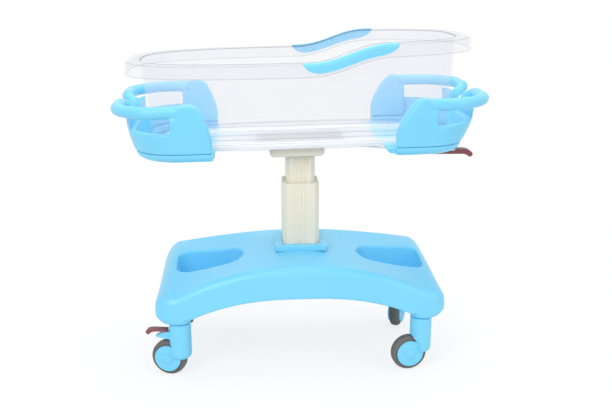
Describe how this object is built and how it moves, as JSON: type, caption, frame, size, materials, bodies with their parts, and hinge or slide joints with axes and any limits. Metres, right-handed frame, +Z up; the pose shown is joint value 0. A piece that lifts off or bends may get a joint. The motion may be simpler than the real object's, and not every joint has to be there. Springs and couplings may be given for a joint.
{
  "type": "hospital bassinet",
  "caption": "Hospital bassinet with a clear lift-out tub on a tilting cradle, a telescoping height column and a moulded storage base on swivel casters.",
  "frame": {"origin": "on the floor, at the middle of the footprint, on the column's axis", "axes": "+X along the tub toward the raised head end, +Y to the far side, +Z up"},
  "size_m": [0.7899, 0.4134, 0.7355],
  "materials": {
    "sky_blue_plastic": "satin moulded",
    "cream_enamel": "satin enamel",
    "clear_plastic": "clear moulded",
    "maroon_plastic": "satin moulded",
    "grey_rubber": "matt",
    "grey_plastic": "matt",
    "white_paint": "satin powder coat",
    "steel": "plated",
    "dark_plastic": "matt"
  },
  "bodies": {
    "base": {"base_shell": "sky_blue_plastic", "base_frame": "steel", "column_collar": "sky_blue_plastic", "outer_sleeve": "cream_enamel", "guide_bush": "dark_plastic", "gas_spring_cylinder": "steel", "gas_spring_nut": "steel"},
    "lift": {"inner_tube": "cream_enamel", "slide_shoe": "dark_plastic", "head_block": "steel", "gas_spring_rod": "steel"},
    "cradle": {"tilt_yoke": "steel", "tilt_pin": "steel", "friction_disc_near": "dark_plastic", "friction_disc_far": "dark_plastic", "head_cover": "cream_enamel", "cradle_rail_near": "white_paint", "cradle_rail_far": "white_paint", "cross_bar_foot": "white_paint", "cross_bar_head": "white_paint", "foot_tray": "sky_blue_plastic", "foot_holder": "sky_blue_plastic", "foot_handle_far": "sky_blue_plastic", "foot_handle_near": "sky_blue_plastic", "head_tray": "sky_blue_plastic", "head_holder": "sky_blue_plastic", "head_handle_far": "sky_blue_plastic", "head_handle_near": "sky_blue_plastic", "lever_bracket": "steel", "lever_pin": "steel", "release_cable": "dark_plastic"},
    "lever": {"release_lever": "steel", "lever_grip": "maroon_plastic"},
    "tub": {"tub": "clear_plastic", "rim_insert_near": "sky_blue_plastic", "rim_insert_far": "sky_blue_plastic"},
    "swivel_foot_near": {"caster_foot_near_fork": "sky_blue_plastic", "caster_foot_near_stem": "steel", "caster_foot_near_axle": "sky_blue_plastic"},
    "wheel_foot_near": {"caster_foot_near_wheel": "grey_plastic", "caster_foot_near_tyre": "grey_rubber"},
    "pedal_foot_near": {"caster_foot_near_pedal": "maroon_plastic"},
    "swivel_foot_far": {"caster_foot_far_fork": "sky_blue_plastic", "caster_foot_far_stem": "steel", "caster_foot_far_axle": "sky_blue_plastic"},
    "wheel_foot_far": {"caster_foot_far_wheel": "grey_plastic", "caster_foot_far_tyre": "grey_rubber"},
    "pedal_foot_far": {"caster_foot_far_pedal": "maroon_plastic"},
    "swivel_head_near": {"caster_head_near_fork": "sky_blue_plastic", "caster_head_near_stem": "steel", "caster_head_near_axle": "sky_blue_plastic"},
    "wheel_head_near": {"caster_head_near_wheel": "grey_plastic", "caster_head_near_tyre": "grey_rubber"},
    "swivel_head_far": {"caster_head_far_fork": "sky_blue_plastic", "caster_head_far_stem": "steel", "caster_head_far_axle": "sky_blue_plastic"},
    "wheel_head_far": {"caster_head_far_wheel": "grey_plastic", "caster_head_far_tyre": "grey_rubber"}
  },
  "joints": [
    {"name": "lift_slide", "type": "slide", "parent": "base", "child": "lift", "axis": [0, 0, 1], "range_m": [-0.033, 0.135]},
    {"name": "cradle_tilt", "type": "hinge", "parent": "lift", "child": "cradle", "pos_m": [0, 0, 0.486], "axis": [0, -1, 0], "range_deg": [-11, 9]},
    {"name": "release_lever_hinge", "type": "hinge", "parent": "cradle", "child": "lever", "pos_m": [0.23894, -0.09, 0.49159], "axis": [0, -1, 0], "range_deg": [0, 6], "stiffness_Nm_per_rad": 0.8, "springref_deg": -11.46},
    {"name": "tub_lift_out", "type": "slide", "parent": "cradle", "child": "tub", "axis": [-0.0192, 0, 0.9998], "range_m": [0, 0.15]},
    {"name": "swivel_foot_near_turn", "type": "hinge", "parent": "base", "child": "swivel_foot_near", "pos_m": [-0.273, -0.131, 0.11], "axis": [0, 0, 1], "continuous": true},
    {"name": "wheel_foot_near_roll", "type": "hinge", "parent": "swivel_foot_near", "child": "wheel_foot_near", "pos_m": [-0.29868, -0.12266, 0.04], "axis": [-0.309, -0.9511, 0], "continuous": true},
    {"name": "pedal_foot_near_press", "type": "hinge", "parent": "swivel_foot_near", "child": "pedal_foot_near", "pos_m": [-0.30559, -0.12584, 0.106], "axis": [-0.1564, -0.9877, 0], "range_deg": [0, 12]},
    {"name": "swivel_foot_far_turn", "type": "hinge", "parent": "base", "child": "swivel_foot_far", "pos_m": [-0.273, 0.131, 0.11], "axis": [0, 0, 1], "continuous": true},
    {"name": "wheel_foot_far_roll", "type": "hinge", "parent": "swivel_foot_far", "child": "wheel_foot_far", "pos_m": [-0.27535, 0.1579, 0.04], "axis": [-0.9962, -0.0872, 0], "continuous": true},
    {"name": "pedal_foot_far_press", "type": "hinge", "parent": "swivel_foot_far", "child": "pedal_foot_far", "pos_m": [-0.28098, 0.16302, 0.106], "axis": [-0.9703, -0.2419, 0], "range_deg": [0, 12]},
    {"name": "swivel_head_near_turn", "type": "hinge", "parent": "base", "child": "swivel_head_near", "pos_m": [0.263, -0.131, 0.11], "axis": [0, 0, 1], "continuous": true},
    {"name": "wheel_head_near_roll", "type": "hinge", "parent": "swivel_head_near", "child": "wheel_head_near", "pos_m": [0.23626, -0.13476, 0.04], "axis": [0.1392, -0.9903, 0], "continuous": true},
    {"name": "swivel_head_far_turn", "type": "hinge", "parent": "base", "child": "swivel_head_far", "pos_m": [0.263, 0.131, 0.11], "axis": [0, 0, 1], "continuous": true},
    {"name": "wheel_head_far_roll", "type": "hinge", "parent": "swivel_head_far", "child": "wheel_head_far", "pos_m": [0.25202, 0.10633, 0.04], "axis": [0.9135, -0.4067, 0], "continuous": true}
  ]
}
